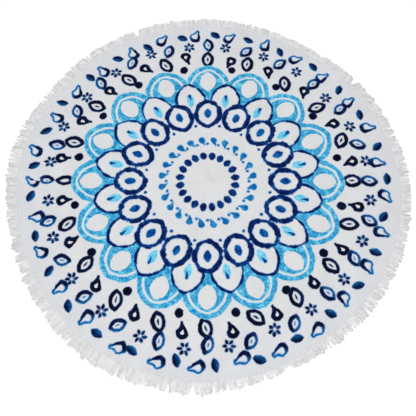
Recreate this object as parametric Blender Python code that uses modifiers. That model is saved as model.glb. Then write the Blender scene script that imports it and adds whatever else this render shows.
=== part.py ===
"""Round beach towel laid flat: a hemmed circle of terry cloth with a brush fringe sewn round it.

Metres, +Z up. The origin is the centre of the underside, on the surface that the towel lies on,
and bearings are degrees anticlockwise from +X. The cloth and the fringe trim are the two pieces
that a maker cuts. The trim is one long strip of heading tape with locks of yarn, laid round the
cloth's edge, and its two ends meet at one bearing.
"""

import math
import random

import bmesh
import bpy

# Cloth
CLOTH_RADIUS = 0.713            # finished circle, hem turned
CLOTH_THICKNESS = 0.0024        # terry, pile and ground together
HEM_WIDTH = 0.015
HEM_THICKNESS = 0.0034          # the turned hem is double, pressed by its stitching
CLOTH_SECTORS = 72
RING_SHARES = (0.14, 0.28, 0.42, 0.54, 0.64, 0.73, 0.81, 0.88, 0.95)   # of the radius inside the hem
MERGE_DISTANCE = 0.0001

# Soft swells that stand off the floor, between the hem and the middle
SWELL_COLUMNS = ("bearing_deg", "radius_m", "lift_m", "along_deg", "across_m")
SWELLS = (
    (18, 0.52, 0.0030, 16, 0.080),
    (74, 0.47, 0.0026, 20, 0.100),
    (127, 0.54, 0.0032, 14, 0.070),
    (184, 0.45, 0.0024, 18, 0.090),
    (231, 0.55, 0.0034, 13, 0.070),
    (268, 0.42, 0.0022, 15, 0.080),
    (304, 0.52, 0.0031, 17, 0.080),
    (340, 0.56, 0.0024, 10, 0.060),
)
SWELL_FLOOR = 0.0005            # what is lower than this lies on the floor

# Where the cut circle and the fringe run out past their mean reach, or fall short of it
OUTLINE_COLUMNS = ("bearing_deg", "spread_deg", "cloth_m", "fringe_m")
OUTLINE = (
    (0, 24, 0.010, 0.001),
    (57, 16, -0.008, -0.008),
    (82, 12, 0.000, -0.005),
    (98, 10, 0.003, -0.0025),
    (125, 11, 0.006, -0.0015),
    (145, 9, -0.004, -0.001),
    (171, 12, 0.008, 0.007),
    (202, 8, -0.003, 0.002),
    (240, 14, 0.006, 0.010),
    (265, 10, 0.007, 0.003),
    (290, 14, 0.000, -0.012),
    (292, 2.2, 0.000, -0.012),
    (308, 13, -0.010, 0.001),
    (345, 12, 0.004, -0.005),
)

# Fringe trim
HEADING_GAP = 0.0004            # between the cloth's edge and the heading
HEADING_WIDTH = 0.006
HEADING_THICKNESS = 0.0026
HEADING_SPLICE_DEG = 36.4       # the strip's two ends meet here
LOCK_COUNT = 288
LOCK_LENGTH = 0.0306            # mean, past the heading
LOCK_LENGTH_JITTER = 0.0042
LOCK_SWAY_DEG = 0.17            # a tip's own drift to either side
LOCK_CURVE = 1.5                # a lock bends more towards its tip
SWAY_SEED = 11

# A lock's sections from its root out: the share of its length, the share of the room between its
# neighbours that it fills, and its thickness
LOCK_COLUMNS = ("along", "fill", "thickness_m")
LOCK_SECTIONS = (
    (0.00, 0.86, HEADING_THICKNESS),
    (0.55, 0.84, 0.0023),
    (1.00, 0.62, 0.0013),
)

# Where the locks part, how wide their tips stand open there, and how far that reaches
PARTING_COLUMNS = ("bearing_deg", "opening_deg", "reach_deg")
PARTINGS = (
    (6.5, 0.9, 2.0),
    (10.6, 0.4, 1.5),
    (15.3, 0.8, 2.0),
    (36.4, 2.6, 4.5),
    (65.0, 0.6, 2.5),
    (114.0, 1.6, 3.0),
    (131.5, 1.5, 3.5),
    (142.0, 0.8, 2.5),
    (162.8, 0.8, 2.5),
    (198.0, 0.8, 1.5),
    (202.8, 1.1, 2.0),
    (209.0, 0.9, 2.0),
    (221.6, 0.8, 2.5),
    (231.0, 0.8, 2.5),
    (257.5, 0.4, 1.5),
    (260.6, 0.8, 2.0),
    (266.4, 1.9, 3.5),
    (279.7, 0.5, 2.5),
    (285.6, 1.3, 2.0),
    (318.5, 0.9, 2.5),
    (341.0, 0.8, 2.5),
    (347.0, 0.4, 1.5),
    (350.5, 0.6, 2.0),
)

# Stretches of the fringe that are thin
SPARSE_COLUMNS = ("bearing_deg", "spread_deg", "thinned_share")
SPARSE = (
    (199.5, 4.0, 0.30),
    (294.0, 5.0, 0.35),
)

COLLECTION_NAME = "round_beach_towel"
MATERIAL_COLUMNS = ("name", "base_color", "roughness")
TERRY_MATERIAL = ("terry_cotton", (0.722, 0.738, 0.761, 1.0), 0.95)
FRINGE_MATERIAL = ("fringe_cotton", (0.701, 0.694, 0.701, 1.0), 0.90)


def rows(columns, table):
    """Each row of a table, with its columns by name."""
    return [dict(zip(columns, row)) for row in table]


def turn_between(bearing, other):
    """The signed turn in degrees from one bearing to another, the short way round."""
    return (other - bearing + 180.0) % 360.0 - 180.0


def bell(offset, spread):
    return math.exp(-(offset / spread) ** 2)


def outline_share(bearing, column):
    """How far the outline runs out past its mean at a bearing."""
    return sum(row[column] * bell(turn_between(row["bearing_deg"], bearing), row["spread_deg"])
               for row in rows(OUTLINE_COLUMNS, OUTLINE))


def cloth_edge(bearing):
    """The cloth's radius at a bearing."""
    return CLOTH_RADIUS + outline_share(bearing, "cloth_m")


def swell(bearing, radius):
    """How high the underside stands off the floor."""
    lift = sum(row["lift_m"]
               * bell(turn_between(row["bearing_deg"], bearing), row["along_deg"])
               * bell(radius - row["radius_m"], row["across_m"])
               for row in rows(SWELL_COLUMNS, SWELLS))
    return max(0.0, lift - SWELL_FLOOR)


def lean(bearing):
    """How many degrees a lock's tip turns away from the partings near it."""
    turn = 0.0
    for row in rows(PARTING_COLUMNS, PARTINGS):
        offset = turn_between(row["bearing_deg"], bearing)
        away = math.copysign(0.5 * row["opening_deg"], offset)
        turn += away * math.exp(-abs(offset) / row["reach_deg"])
    return turn


def fullness(bearing):
    """The share of its yarn that a lock keeps, less in the sparse stretches."""
    return 1.0 - sum(row["thinned_share"] * bell(turn_between(row["bearing_deg"], bearing), row["spread_deg"])
                     for row in rows(SPARSE_COLUMNS, SPARSE))


def at_bearing(bearing, radius, height):
    angle = math.radians(bearing)
    return radius * math.cos(angle), radius * math.sin(angle), height


def bearing_of(point):
    return math.degrees(math.atan2(point.y, point.x)) % 360.0


def make_material(row):
    values = dict(zip(MATERIAL_COLUMNS, row))
    material = bpy.data.materials.new(values["name"])
    material.use_nodes = True
    shader = material.node_tree.nodes["Principled BSDF"]
    shader.inputs["Base Color"].default_value = values["base_color"]
    shader.inputs["Roughness"].default_value = values["roughness"]
    shader.inputs["Metallic"].default_value = 0.0
    material.diffuse_color = values["base_color"]
    return material


def add_object(name, bm, material_row, collection):
    mesh = bpy.data.meshes.new(name)
    bm.to_mesh(mesh)
    bm.free()
    mesh.materials.append(make_material(material_row))
    item = bpy.data.objects.new(name, mesh)
    collection.objects.link(item)
    return item


def make_towel_cloth(collection):
    """The cut circle: one spun radius, brought to its outline and swells, then given its thickness."""
    inside_hem = CLOTH_RADIUS - HEM_WIDTH
    radii = [0.0] + [share * inside_hem for share in RING_SHARES] + [inside_hem, CLOTH_RADIUS]
    bm = bmesh.new()
    spoke = [bm.verts.new((radius, 0.0, 0.0)) for radius in radii]
    for inner, outer in zip(spoke, spoke[1:]):
        bm.edges.new((inner, outer))
    bmesh.ops.spin(bm, geom=bm.verts[:] + bm.edges[:], cent=(0.0, 0.0, 0.0), axis=(0.0, 0.0, 1.0),
                   angle=math.tau, steps=CLOTH_SECTORS)
    bmesh.ops.remove_doubles(bm, verts=bm.verts[:], dist=MERGE_DISTANCE)

    hem_start = inside_hem - 0.5 * HEM_WIDTH
    hem_places = []
    for place, vert in enumerate(bm.verts):
        radius = vert.co.length
        if radius > hem_start:
            hem_places.append(place)
        bearing = bearing_of(vert.co)
        share = radius / CLOTH_RADIUS
        drawn = radius + (cloth_edge(bearing) - CLOTH_RADIUS) * share ** 2
        vert.co = at_bearing(bearing, drawn, swell(bearing, radius))
    bmesh.ops.recalc_face_normals(bm, faces=bm.faces[:])
    if sum(face.normal.z for face in bm.faces) < 0.0:
        bmesh.ops.reverse_faces(bm, faces=bm.faces[:])

    cloth = add_object("towel_cloth", bm, TERRY_MATERIAL, collection)
    hem = cloth.vertex_groups.new(name="hem")
    hem.add(hem_places, 1.0, "REPLACE")
    thickness = cloth.modifiers.new("thickness", "SOLIDIFY")
    thickness.thickness = HEM_THICKNESS
    thickness.offset = 1.0
    thickness.vertex_group = hem.name
    thickness.thickness_vertex_group = CLOTH_THICKNESS / HEM_THICKNESS
    return cloth


def lock_plan():
    """Each lock's bearings and reach, worked out in order round the strip."""
    sway = random.Random(SWAY_SEED)
    pitch = 360.0 / LOCK_COUNT
    locks = []
    for number in range(LOCK_COUNT):
        root = HEADING_SPLICE_DEG + (number + 0.5) * pitch
        drift = sway.uniform(-LOCK_SWAY_DEG, LOCK_SWAY_DEG)
        length = LOCK_LENGTH + outline_share(root, "fringe_m") + sway.uniform(-1.0, 1.0) * LOCK_LENGTH_JITTER
        locks.append({"root": root, "tip": root + lean(root) + drift, "length": length,
                      "fullness": fullness(root)})
    return locks


def lock_centre(lock, along):
    """The bearing of a lock's middle line at a share of its length."""
    return lock["root"] + (lock["tip"] - lock["root"]) * along ** LOCK_CURVE


def lock_section(locks, number, section):
    """The bearings of a lock's two sides at one of its sections, and the radius there."""
    lock, along = locks[number], section["along"]
    centre = lock_centre(lock, along)
    neighbours = [locks[other] for other in (number - 1, number + 1) if 0 <= other < LOCK_COUNT]
    room = min([360.0 / LOCK_COUNT] + [abs(lock_centre(other, along) - centre) for other in neighbours])
    half = 0.5 * section["fill"] * lock["fullness"] * room
    radius = cloth_edge(lock["root"]) + HEADING_GAP + HEADING_WIDTH + lock["length"] * along
    return (centre - half, centre + half), radius


def make_fringe_trim(collection):
    """The heading strip spun round the cloth, with a lock drawn out of every other outer face."""
    locks = lock_plan()
    root, *sections = rows(LOCK_COLUMNS, LOCK_SECTIONS)
    stations = 2 * LOCK_COUNT
    step = 360.0 / stations
    bm = bmesh.new()
    station_of = bm.verts.layers.int.new("station")
    profile = [bm.verts.new((radius, 0.0, height)) for radius, height in (
        (CLOTH_RADIUS, 0.0), (CLOTH_RADIUS + HEADING_WIDTH, 0.0),
        (CLOTH_RADIUS + HEADING_WIDTH, HEADING_THICKNESS), (CLOTH_RADIUS, HEADING_THICKNESS))]
    bmesh.ops.spin(bm, geom=[bm.faces.new(profile)], cent=(0.0, 0.0, 0.0), axis=(0.0, 0.0, 1.0),
                   angle=math.radians(step) * (stations - 1), steps=stations - 1)

    middle_radius = CLOTH_RADIUS + 0.5 * HEADING_WIDTH
    outer_verts = set()
    for vert in bm.verts:
        vert[station_of] = round(bearing_of(vert.co) / step)
        if vert.co.xy.length > middle_radius:
            outer_verts.add(vert)
    lock_faces = [face for face in bm.faces
                  if all(vert in outer_verts for vert in face.verts)
                  and min(vert[station_of] for vert in face.verts) % 2 == 0]

    for vert in bm.verts:
        number, side = divmod(vert[station_of], 2)
        sides, _ = lock_section(locks, number, root)
        strip_width = HEADING_WIDTH if vert in outer_verts else 0.0
        vert.co = at_bearing(sides[side], cloth_edge(sides[side]) + HEADING_GAP + strip_width, vert.co.z)

    for section in sections:
        lock_faces = bmesh.ops.extrude_discrete_faces(bm, faces=lock_faces)["faces"]
        for face in lock_faces:
            for vert in face.verts:
                number, side = divmod(vert[station_of], 2)
                sides, radius = lock_section(locks, number, section)
                height = section["thickness_m"] if vert.co.z > 0.0 else 0.0
                vert.co = at_bearing(sides[side], radius, height)
    bmesh.ops.recalc_face_normals(bm, faces=bm.faces[:])
    return add_object("fringe_trim", bm, FRINGE_MATERIAL, collection)


def main():
    for item in list(bpy.data.objects):
        bpy.data.objects.remove(item, do_unlink=True)
    collection = bpy.data.collections.new(COLLECTION_NAME)
    bpy.context.scene.collection.children.link(collection)
    make_towel_cloth(collection)
    make_fringe_trim(collection)


main()
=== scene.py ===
"""Looks of the round beach towel: printed terry with a stitched hem, and a brush fringe of cotton yarn.

Metres, +Z up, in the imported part's own frame. Bearings are degrees anticlockwise from +X round the
towel's centre. The outline, the swells and the fringe's partings repeat the tables of the part's
own source, so every piece lies on its solid.
"""

import math
import random

import bpy
import numpy as np
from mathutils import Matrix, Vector


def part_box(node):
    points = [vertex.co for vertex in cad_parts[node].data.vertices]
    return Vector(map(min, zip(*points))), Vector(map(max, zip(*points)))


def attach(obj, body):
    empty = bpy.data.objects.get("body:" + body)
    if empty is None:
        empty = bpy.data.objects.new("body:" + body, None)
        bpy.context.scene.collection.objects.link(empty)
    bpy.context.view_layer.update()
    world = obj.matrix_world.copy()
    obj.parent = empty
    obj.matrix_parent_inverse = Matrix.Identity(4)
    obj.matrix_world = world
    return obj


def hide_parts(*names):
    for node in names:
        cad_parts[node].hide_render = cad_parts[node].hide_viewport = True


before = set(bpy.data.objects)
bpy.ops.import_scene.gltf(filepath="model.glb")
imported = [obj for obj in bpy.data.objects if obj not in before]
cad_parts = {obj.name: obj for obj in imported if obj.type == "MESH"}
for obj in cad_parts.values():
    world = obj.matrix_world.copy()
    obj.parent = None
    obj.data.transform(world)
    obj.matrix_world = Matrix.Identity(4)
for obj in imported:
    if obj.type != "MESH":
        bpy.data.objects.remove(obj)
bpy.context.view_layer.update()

# The cut cloth
CLOTH_RADIUS = 0.713
CLOTH_THICKNESS = 0.0024
HEM_ALLOWANCE = 0.015           # turned under all round
CUT_RADIUS = CLOTH_RADIUS + HEM_ALLOWANCE
FLOOR_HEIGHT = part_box("towel_cloth")[0].z

# The panel's mesh: fine rings and sectors at the hem, wider ones inside, fine again over the creases
HEM_SECTORS = 720
INNER_SECTORS = 240
HEM_BAND_INNER = 0.640
CREASE_ZONE = 0.130
BAND_RING_STEP = 0.0095
INNER_RING_STEP = 0.0125
CREASE_RING_STEP = 0.0045
LOOP_TOLERANCE = 0.0004         # how near its radius a loop's points lie
PRINTED_SLOPE = 0.3             # faces that look up more than this take the print

# Heights of the hem's two sides, by distance in from the edge
HEM_COLUMNS = ("from_edge_m", "top_m", "under_m")
HEM_PROFILE = (
    (0.0000, 0.0021, 0.0010),
    (0.0007, 0.0027, 0.0004),
    (0.0018, 0.0031, 0.0000),
    (0.0029, 0.0031, 0.0000),
    (0.0038, 0.0028, 0.0000),
    (0.0047, 0.0031, 0.0000),
    (0.0062, 0.0034, 0.0000),
    (0.0090, 0.0034, 0.0000),
    (0.0114, 0.0031, 0.0000),
    (0.0126, 0.0028, 0.0000),
    (0.0134, 0.0025, 0.0000),
    (0.0143, 0.0025, 0.0002),
    (0.0156, 0.0026, 0.0009),
    (0.0175, 0.0025, 0.0001),
    (0.0210, 0.0024, 0.0000),
)
EDGE_STITCH_INSET = 0.0038
HEM_STITCH_INSET = 0.0134

# How the hem is gathered a little along its inner seam
PUCKER_HEIGHT = 0.00042
PUCKER_WAVELENGTH = 0.017
PUCKER_REACH = 0.016            # to either side of the seam
PUCKER_EDGE_FADE = 0.002        # over which it dies away at the very edge
PUCKER_SEED = 5

# Soft swells that stand off the floor, between the hem and the middle
SWELL_COLUMNS = ("bearing_deg", "radius_m", "lift_m", "along_deg", "across_m")
SWELLS = (
    (18, 0.52, 0.0030, 16, 0.080),
    (74, 0.47, 0.0026, 20, 0.100),
    (127, 0.54, 0.0032, 14, 0.070),
    (184, 0.45, 0.0024, 18, 0.090),
    (231, 0.55, 0.0034, 13, 0.070),
    (268, 0.42, 0.0022, 15, 0.080),
    (304, 0.52, 0.0031, 17, 0.080),
    (340, 0.56, 0.0024, 10, 0.060),
)
SWELL_FLOOR = 0.0005

# Creases, listed one by one: a ridge each, with its pinched side as a trough
CREASE_COLUMNS = ("x_m", "y_m", "bearing_deg", "half_length_m", "width_m", "rise_m", "bow_m")
CREASES = (
    (0.004, 0.022, 127, 0.034, 0.0034, 0.0034, 0.003),
    (0.016, 0.006, 125, 0.016, 0.0030, 0.0036, 0.001),
    (-0.022, 0.048, 112, 0.030, 0.0080, 0.0014, -0.006),
    (0.045, 0.012, 84, 0.026, 0.0070, 0.0010, 0.005),
    (0.330, 0.545, 62, 0.050, 0.0140, 0.0018, 0.006),
    (0.565, 0.335, 20, 0.045, 0.0130, 0.0015, -0.006),
    (-0.575, -0.300, 208, 0.050, 0.0140, 0.0016, 0.006),
    (0.470, -0.455, 318, 0.060, 0.0150, 0.0018, 0.008),
    (-0.420, 0.500, 128, 0.045, 0.0130, 0.0014, -0.005),
)
TROUGH_SHARE = 0.35             # a trough's depth, as a share of its ridge's height
TROUGH_OFFSET = 1.9             # how far aside of its ridge it lies, in widths

# Small uneven lumps all over the cloth inside the hem
LUMP_COLUMNS = ("wavelength_m", "height_m", "seed")
LUMPS = (
    (0.045, 0.00030, 7),
    (0.160, 0.00035, 8),
)
LUMP_START = 0.012              # how far in from the edge they start
LUMP_FADE = 0.05                # and over what width they grow to their full height
UNDER_RISE_SHARE = 0.55         # how much of a crease or lump the underside takes

# An uneven field is a sum of waves
DRIFT_WAVES = 9
DRIFT_LENGTHS = (0.75, 1.45)    # the waves' lengths, as shares of the mean
DRIFT_PEAK = 1.6

# Where the cut circle and the fringe run out past their mean reach, or fall short of it
OUTLINE_COLUMNS = ("bearing_deg", "spread_deg", "cloth_m", "fringe_m")
OUTLINE = (
    (0, 24, 0.010, 0.001),
    (57, 16, -0.008, -0.008),
    (82, 12, 0.000, -0.005),
    (98, 10, 0.003, -0.0025),
    (125, 11, 0.006, -0.0015),
    (145, 9, -0.004, -0.001),
    (171, 12, 0.008, 0.007),
    (202, 8, -0.003, 0.002),
    (240, 14, 0.006, 0.010),
    (265, 10, 0.007, 0.003),
    (290, 14, 0.000, -0.012),
    (292, 2.2, 0.000, -0.012),
    (308, 13, -0.010, 0.001),
    (345, 12, 0.004, -0.005),
)

# Fringe trim
HEADING_GAP = 0.0004
HEADING_WIDTH = 0.006
HEADING_SPLICE_DEG = 36.4
TAPE_RIBS = 6
TAPE_RIB_DEPTH = 0.0001
TAPE_THICKNESS = 0.0024         # next to the hem
TAPE_FALL = 0.0007              # how much thinner it is at its outer edge
LOCK_COUNT = 288
LOCK_LENGTH = 0.0306
LOCK_LENGTH_JITTER = 0.0042
LOCK_SWAY_DEG = 0.17
SWAY_SEED = 11

# Where the locks part, how wide their tips stand open there, and how far that reaches
PARTING_COLUMNS = ("bearing_deg", "opening_deg", "reach_deg")
PARTINGS = (
    (6.5, 0.9, 2.0),
    (10.6, 0.4, 1.5),
    (15.3, 0.8, 2.0),
    (36.4, 2.6, 4.5),
    (65.0, 0.6, 2.5),
    (114.0, 1.6, 3.0),
    (131.5, 1.5, 3.5),
    (142.0, 0.8, 2.5),
    (162.8, 0.8, 2.5),
    (198.0, 0.8, 1.5),
    (202.8, 1.1, 2.0),
    (209.0, 0.9, 2.0),
    (221.6, 0.8, 2.5),
    (231.0, 0.8, 2.5),
    (257.5, 0.4, 1.5),
    (260.6, 0.8, 2.0),
    (266.4, 1.9, 3.5),
    (279.7, 0.5, 2.5),
    (285.6, 1.3, 2.0),
    (318.5, 0.9, 2.5),
    (341.0, 0.8, 2.5),
    (347.0, 0.4, 1.5),
    (350.5, 0.6, 2.0),
)

# Stretches of the fringe that are thin
SPARSE_COLUMNS = ("bearing_deg", "spread_deg", "thinned_share")
SPARSE = (
    (199.5, 4.0, 0.30),
    (294.0, 5.0, 0.35),
)

# Stitches
STITCH_LENGTH = 0.0031
STITCH_WIDTH = 0.00085
STITCH_FLATNESS = 0.8           # a stitch's height, as a share of its width
STITCH_DIP = 0.25               # how far its ends sink, as a share of its width
STITCH_PITCH = 0.0040
STITCH_JITTER = 0.08            # of the pitch
STITCH_SKEW_DEG = 6.0
STITCH_LIFT = 0.00025           # how far its middle stands above the cloth
HEM_ROWS = ((HEM_STITCH_INSET, 41), (EDGE_STITCH_INSET, 42))    # each row's inset and its seed
HEM_TONE_SEED = 43
HEADING_ROW_SHARE = 0.55        # how far out across the heading its row runs
HEADING_ROW_SEED = 44
HEADING_TONE_SEED = 45

# Yarn
YARN_RADIUS = 0.00057
YARN_GIRTHS = (0.85, 1.15)      # a yarn's own girth, as a share of that
YARN_SWELL = 0.16               # how much its girth varies along it
YARN_END_SHARE = 0.72           # how far its cut end is drawn in
YARN_SIDES = 4
YARN_STEPS = 7
YARNS_ACROSS = 13
YARN_LAYERS = 3
YARN_LAYER_STEP = 0.00058
YARN_ROOM = (0.1, 0.9)          # where in its own room across the lock a yarn's root stands
YARN_SEED = 29
YARN_LENGTH_SHARE = 0.94        # the yarn's mean length, as a share of its solid lock's
YARN_REACH_SHARE = 0.06         # how much that varies
LONG_YARN_SHARE = 0.025         # yarns that stand out past the rest
LONG_YARN_EXTRA = (0.001, 0.003)
YARN_CRIMP = 0.0013             # how far it waves to each side, at the most
YARN_CRIMPS = (0.2, 1.0)        # a yarn's own crimp, as a share of that
YARN_WAVES = (0.4, 1.2)
CRIMP_RISE_SHARE = 0.4          # how much of its crimp it also rises and falls by
CRIMP_RISE_PHASE = 1.7
ROOT_HEIGHT = 0.00045           # how far the sewn ends stand off the floor
ROOT_TUCK = 0.0008              # how far the sewn ends reach in under the hem's rounded edge
TIP_HEIGHT = 1.05               # how high the lowest tips lie, in radii
TIP_STEP_SHARE = 0.8            # how much of their layers' step is left at the tips
YARN_CLEARANCE = 0.00005        # the least height above the floor

# Tufts that a lock's yarn falls into
TUFTS_PER_LOCK = (1, 4)
TUFT_JITTER = 0.2               # of a tuft's own room
TUFT_PULL = (0.08, 0.85)        # how far the yarn draws in to its tuft by the tips, mostly little
TUFT_LEAN_SHARE = 0.10          # of a lock's width, at the tips
TUFT_REACH_SHARE = 0.045        # of a lock's length
TUFT_POINT_SHARE = 0.10         # how much shorter a tuft's outer yarn is
TUFT_POINT_MEAN = 0.4           # how much of that its middle yarn gains
TUFT_TONE_SHARE = 0.7           # how far a yarn takes its tuft's tone, not its own: partly a painted shade between the tufts, partly their own tone
STRAY_SHARE = 0.05
LOCK_ROOM = 1.06                # the most that a lock takes up, in pitches

# Powers of the share of its length by which yarn turns from its root's way to its tip's
LOCK_BEND = 1.5
PULL_BEND = 1.3
STRAY_BEND = 1.6
SETTLE_BEND = 0.8

# Colours as the eye sees them, 0 to 255
CLOTH_WHITE = (208, 209, 211)
YARN_WHITE = (229, 229, 230)
TAPE_WHITE = (213, 213, 215)
THREAD_WHITE = (219, 219, 222)
MARGIN_SHADE_WHITE = (205, 207, 211)
MARGIN_SHADE_ZONE = (0.500, 0.700)    # radii between which the white darkens to a bluer grey, a painted shade towards the hem

# Each ink's full tone, its worn tone, the tone of its wet edge, how much of that tone bleeds out
# round it, and the ink that it may turn to across a motif
INK_COLUMNS = ("ink", "full", "worn", "wet_edge", "bleeding", "bluer_ink")
INKS = (
    ("navy", (1, 4, 18), (3, 18, 50), (22, 66, 128), 0.30, "indigo"),
    ("midnight", (1, 4, 24), (3, 28, 84), (18, 88, 158), 0.42, "azure"),
    ("indigo", (1, 13, 58), (3, 42, 110), (12, 98, 168), 0.50, "royal"),
    ("royal", (1, 40, 108), (4, 80, 150), (16, 118, 184), 0.55, "azure"),
    ("azure", (2, 84, 154), (14, 118, 180), (44, 150, 208), 0.50, "cyan"),
    ("cyan", (0, 124, 180), (104, 197, 225), (96, 186, 220), 0.50, "sky"),
    ("sky", (86, 180, 214), (134, 204, 228), (150, 208, 230), 0.40, "sky"),
)

# How often each unevenness of cotton pile repeats in a metre, and its part in the tone and the height
BRUSHED_SCALE = 11.0
LUMPS_SCALE = 95.0
CLUMPS_SCALE = 340.0
NAP_TONE = {"brushed": 1.1, "lumps": 0.8, "fibres": 0.8}
NAP_HEIGHT = {"tufts": -0.6, "fibres": 0.5, "lumps": 0.8, "clumps": 0.5}
COTTON_SPECULAR = 0.04

# The uncut loops of the towel's back
LOOP_SCALE = 430.0
LOOP_RANDOMNESS = 0.7
LOOP_CROWN = 1.3
LOOP_NAP_SHARE = 0.5
LOOP_SHADE = (-0.22, 1.08)      # painted shade: how the tone falls with the distance from a loop's crown, darker between the loops

# The twist of the yarn
FLUFF_SCALE = 1500.0
FLUFF_TONE = 0.6
YARN_TURNS = (240.0, -130.0)    # how the twist along a yarn goes with its tone
YARN_SLANT = 1.8
PLY_HEIGHT = 0.30
# painted shade in the plies' grooves, their ridges lighter
PLY_GROOVE_SHADE = 0.012

# Camera, floor and light
CAMERA_PLACE = (0.0, -0.7608, 1.7988)
CAMERA_TURN_DEG = (19.97, -0.09, 0.12)
CAMERA_LENS_MM = 44.73
SENSOR_WIDTH_MM = 36.0
FLOOR_SIZE = 14.0
FLOOR_DROP = 0.0002
FLOOR_TONE = 0.95
LIGHT_COLUMNS = ("name", "place", "size_m", "watts")
LIGHTS = (
    ("window", (-0.12, -2.3, 2.5), 2.2, 33.0),
    ("overhead", (-0.18, 0.6, 3.2), 3.4, 48.5),
)
SKY_STRENGTH = 0.66


# ---------------------------------------------------------------- the towel's shape

def rows(columns, table):
    """Each row of a table, with its columns by name."""
    return [dict(zip(columns, row)) for row in table]


def turn_between(bearing, other):
    """The signed turn in degrees from one bearing to another, the short way round."""
    return (other - bearing + 180.0) % 360.0 - 180.0


def bell(offset, spread):
    return np.exp(-(offset / spread) ** 2)


def by_bearing(columns, table, column, bearing):
    """The sum of one column of a table, each row fading away to either side of its own bearing."""
    return sum(row[column] * bell(turn_between(row["bearing_deg"], bearing), row["spread_deg"])
               for row in rows(columns, table))


def outline_share(bearing, column):
    """How far the outline runs out past its mean at a bearing."""
    return by_bearing(OUTLINE_COLUMNS, OUTLINE, column, bearing)


def cloth_edge(bearing):
    return CLOTH_RADIUS + outline_share(bearing, "cloth_m")


def swell(bearing, radius):
    """How high the underside stands off the floor."""
    lift = sum(row["lift_m"]
               * bell(turn_between(row["bearing_deg"], bearing), row["along_deg"])
               * bell(radius - row["radius_m"], row["across_m"])
               for row in rows(SWELL_COLUMNS, SWELLS))
    return np.maximum(0.0, lift - SWELL_FLOOR)


def lean(bearing):
    """How many degrees a lock's tip turns away from the partings near it."""
    turn = 0.0
    for row in rows(PARTING_COLUMNS, PARTINGS):
        offset = turn_between(row["bearing_deg"], bearing)
        away = math.copysign(0.5 * row["opening_deg"], offset)
        turn += away * math.exp(-abs(offset) / row["reach_deg"])
    return turn


def fullness(bearing):
    """The share of its yarn that a lock keeps, less in the sparse stretches."""
    return 1.0 - by_bearing(SPARSE_COLUMNS, SPARSE, "thinned_share", bearing)


def creases(x, y):
    """The rise of the listed creases at a place on the cloth."""
    rise = 0.0
    for row in rows(CREASE_COLUMNS, CREASES):
        angle = math.radians(row["bearing_deg"])
        from_x, from_y = x - row["x_m"], y - row["y_m"]
        along = (from_x * math.cos(angle) + from_y * math.sin(angle)) / row["half_length_m"]
        across = -from_x * math.sin(angle) + from_y * math.cos(angle) - row["bow_m"] * along ** 2
        fade = np.exp(-along ** 4)
        ridge = bell(across, row["width_m"])
        trough = TROUGH_SHARE * bell(across - TROUGH_OFFSET * row["width_m"], row["width_m"])
        rise = rise + row["rise_m"] * fade * (ridge - trough)
    return rise


def drift(x, y, wavelength, seed):
    """A smooth uneven field, mostly from -1 to 1, the sum of a few waves in scattered directions."""
    chance = np.random.RandomState(seed)
    total = np.zeros_like(x)
    for _ in range(DRIFT_WAVES):
        heading = chance.uniform(0.0, math.tau)
        number = math.tau / (wavelength * chance.uniform(*DRIFT_LENGTHS))
        run = x * math.cos(heading) + y * math.sin(heading)
        total += np.sin(number * run + chance.uniform(0.0, math.tau))
    return total / DRIFT_WAVES ** 0.5 / DRIFT_PEAK


def hem_height(from_edge, column):
    """How high one side of the hem lies, by distance in from the edge."""
    profile = rows(HEM_COLUMNS, HEM_PROFILE)
    return np.interp(from_edge, [row["from_edge_m"] for row in profile], [row[column] for row in profile])


def polar(points):
    """Each point's radius, and its bearing in degrees."""
    radius = np.hypot(points[:, 0], points[:, 1])
    bearing = np.degrees(np.arctan2(points[:, 1], points[:, 0])) % 360.0
    return radius, bearing


def around(radius, bearing):
    """The place at a radius and a bearing in degrees."""
    angle = np.radians(bearing)
    return radius * np.cos(angle), radius * np.sin(angle)


# ---------------------------------------------------------------- making meshes

def deselect_all():
    if bpy.context.object and bpy.context.object.mode != "OBJECT":
        bpy.ops.object.mode_set(mode="OBJECT")
    bpy.ops.object.select_all(action="DESELECT")


def get_points(item):
    points = np.empty(len(item.data.vertices) * 3)
    item.data.vertices.foreach_get("co", points)
    return points.reshape(-1, 3)


def set_points(item, points):
    item.data.vertices.foreach_set("co", points.astype(np.float32).ravel())
    item.data.update()


def face_lists(item):
    return [list(polygon.vertices) for polygon in item.data.polygons]


def edit_all():
    """Opens the active mesh to edit, with all of it selected."""
    bpy.ops.object.mode_set(mode="EDIT")
    bpy.ops.mesh.select_all(action="SELECT")


def start_ring(name, radius):
    """A new mesh of one loop of points, open to edit."""
    deselect_all()
    bpy.ops.mesh.primitive_circle_add(vertices=HEM_SECTORS, radius=radius, fill_type="NOTHING")
    item = bpy.context.object
    item.name = item.data.name = name
    edit_all()
    return item


def extrude_rings(radius, rings):
    """Draws the selected loop in or out through each radius in turn, each time with a ring of faces."""
    for ring in rings:
        share = ring / radius
        bpy.ops.mesh.extrude_region_move()
        bpy.ops.transform.resize(value=(share, share, 1.0), center_override=(0.0, 0.0, 0.0))
        radius = ring


def face_up(item):
    """Turns an open flat mesh so that all its faces look up."""
    edit_all()
    bpy.ops.mesh.normals_make_consistent(inside=False)
    bpy.ops.object.mode_set(mode="OBJECT")
    if item.data.polygons[0].normal.z < 0.0:
        bpy.ops.object.mode_set(mode="EDIT")
        bpy.ops.mesh.flip_normals()
        bpy.ops.object.mode_set(mode="OBJECT")


def thicken(item, name, thickness):
    """Gives a flat mesh its thickness, upwards."""
    modifier = item.modifiers.new(name, "SOLIDIFY")
    modifier.thickness = thickness
    modifier.offset = 1.0
    deselect_all()
    item.select_set(True)
    bpy.context.view_layer.objects.active = item
    bpy.ops.object.modifier_apply(modifier=name)


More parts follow.
